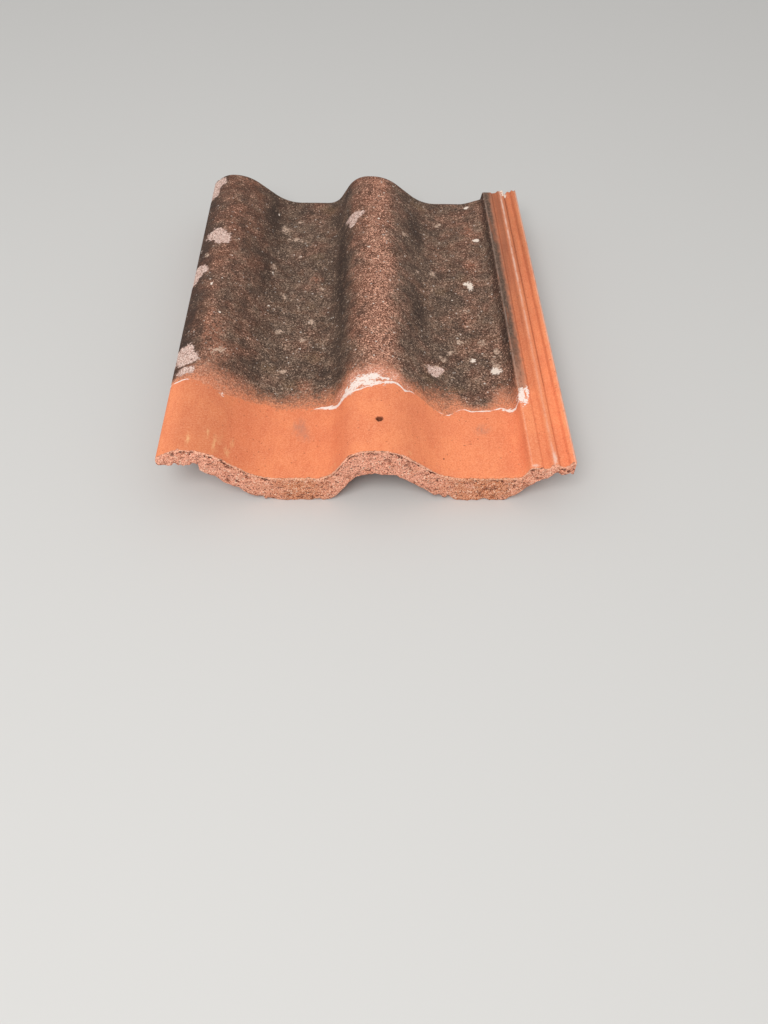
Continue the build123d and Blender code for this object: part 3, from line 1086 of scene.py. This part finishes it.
def concrete():
    """The tile's one material: coat, film, weathered face, wear and raw concrete, each in its place."""
    g = Graph("weathered_concrete")
    soil = g.uneven(g.math("DIVIDE", "lap", "fade"), 0.2, 0.14)
    exposed = g.math("LESS_THAN", "across", exposed_end)
    film = g.step(g.uneven("lap", 0.8), -0.2, 1.8, 0, 0.6)
    film = g.times(g.math("MAXIMUM", film, g.step(soil, -0.05, 0.3, 0, 0.95)), exposed)
    dirt = g.times(g.step(soil, 0.08, 1), g.step("lap", 0, 1.5), exposed)

    paint = Paint(g, film, lock_dulled_to_tail(g, coat_colour(g)), film_colour(g))
    paint.over(weathered_colour(g), dirt)
    # Lengthwise darker lines in the grooves and on the rib walls: dirt and painted shade
    grime_and_groove_shade = g.times("grime_and_groove_shade", g.step("lap", -8, 6, 0.35, 1))
    paint.over((0.3, 0.24, 0.22, 1), grime_and_groove_shade, 0.6, blend="MULTIPLY")
    rub = g.step(g.noise(4, 4, 0.7, 53, (1, 0.3, 1)), 0.32, 0.6, 0.2, 1)
    paint.over((240, 206, 188), "rub", rub, 0.85)
    haze = g.times("haze", g.step("lap", 0.5, 3))
    crust = g.step(g.noise(1.4, 2, 0.7, 58), 0.48, 0.62)
    paint.over((226, 134, 104), haze, 0.3)
    paint.over((255, 208, 186), haze, crust, 0.85)
    specks = g.step(g.fine, -0.5, -0.9, 1, 0.55)
    paint.over((250, 236, 226), lime_cover(g), specks, 0.92)
    pale = g.step(g.uneven("pale", 0, 0.25), 0, 0.35)
    paint.over((246, 228, 212), pale, 0.95)
    flake = g.step(g.uneven("flake", 0.1, 0.12), 0, 0.22)
    flake = g.times(flake, g.step(g.noise(1.9, 3, 0.7, 44), 0.3, 0.42))
    paint.over(flake_colour(g), flake)
    paint.over((112, 62, 44), g.step(g.uneven("hole", 0.12), 0.32, 0.58, 0, 0.8))
    paint.over(under_colour(g), g.step(g.uneven("under", 0.22, 0.12), 0.3, 0.75))
    cut = g.step(g.uneven("cut", 0.4, 0.5), 0, 0.4)
    paint.over(raw_colour(g), cut)
    g.put(g.shader.inputs["Base Color"], paint.colour)
    g.put(g.shader.inputs["Roughness"], matt)
    g.put(g.shader.inputs["Specular IOR Level"], shine)

    sand, _ = g.grains(1.7, 15, 0.8)
    grain = g.math("ADD", g.times(sand, 0.35), g.noise(1.5, 3, 0.65, 61))
    rough_share = g.math("MAXIMUM", dirt, g.times(cut, 2.6))
    rough_share = g.math("MAXIMUM", rough_share, g.math("MAXIMUM", flake, coat_grain))
    height = g.times(grain, rough_share)
    bump = g.add("ShaderNodeBump", {"Strength": grain_strength, "Distance": grain_depth, "Height": height})
    g.put(g.shader.inputs["Normal"], bump.outputs["Normal"])
    return g.material


mesh.materials.append(concrete())


# Floor, lamp and sky: sizes and places in metres, power in watts
floor_reach = 5
floor_colour = (0.62, 0.61, 0.59, 1)
lamp_place = (-0.5, -1.5, 1.85)
lamp_size = 1.4
lamp_power = 34
sky_strength = 0.62


def plain_floor():
    floor = bpy.data.meshes.new("floor")
    sides = [(-1, -1), (1, -1), (1, 1), (-1, 1)]
    corners = [(x * floor_reach, y * floor_reach, floor_z * MM) for x, y in sides]
    floor.from_pydata(corners, [], [(0, 1, 2, 3)])
    floor_object = placed("floor", floor)
    paint = bpy.data.materials.new("floor_paint")
    paint.use_nodes = True
    shader = paint.node_tree.nodes["Principled BSDF"]
    shader.inputs["Base Color"].default_value = floor_colour
    shader.inputs["Roughness"].default_value = matt
    floor.materials.append(paint)


def soft_lamp():
    """One large disk of light that points at the tile."""
    light = bpy.data.lights.new("key", "AREA")
    light.shape = "DISK"
    light.size = lamp_size
    light.energy = lamp_power
    holder = placed("key", light)
    holder.location = lamp_place
    holder.rotation_euler = (-Vector(lamp_place)).to_track_quat("-Z", "Y").to_euler()


# The photograph's camera, fitted to the tile's edges: focal length and picture height in pixels, how far it
# looks down, is turned and is tilted, and its place in millimetres
focal_pixels = 820.64
frame_height = 1024
sensor = 36
pitch, yaw, roll = radians(50.505), radians(-2.4905), radians(1.9283)
camera_place = Vector((-4.983, -647.93, 518.01))
nearest = 0.01


def camera():
    lens = bpy.data.cameras.new("camera")
    lens.sensor_width = sensor
    lens.lens = sensor * focal_pixels / frame_height
    lens.clip_start = nearest
    holder = placed("camera", lens)
    turn = Matrix.Rotation(yaw, 4, "Z") @ Matrix.Rotation(pi / 2 - pitch, 4, "X")
    turn @= Matrix.Rotation(roll, 4, "Z")
    holder.matrix_world = Matrix.Translation(camera_place * MM) @ turn
    bpy.context.scene.camera = holder


plain_floor()
camera()
soft_lamp()
world = bpy.data.worlds.new("studio")
world.use_nodes = True
background = world.node_tree.nodes["Background"]
background.inputs["Color"].default_value = (1, 1, 1, 1)
background.inputs["Strength"].default_value = sky_strength
bpy.context.scene.world = world
bpy.context.scene.view_settings.view_transform = "Standard"
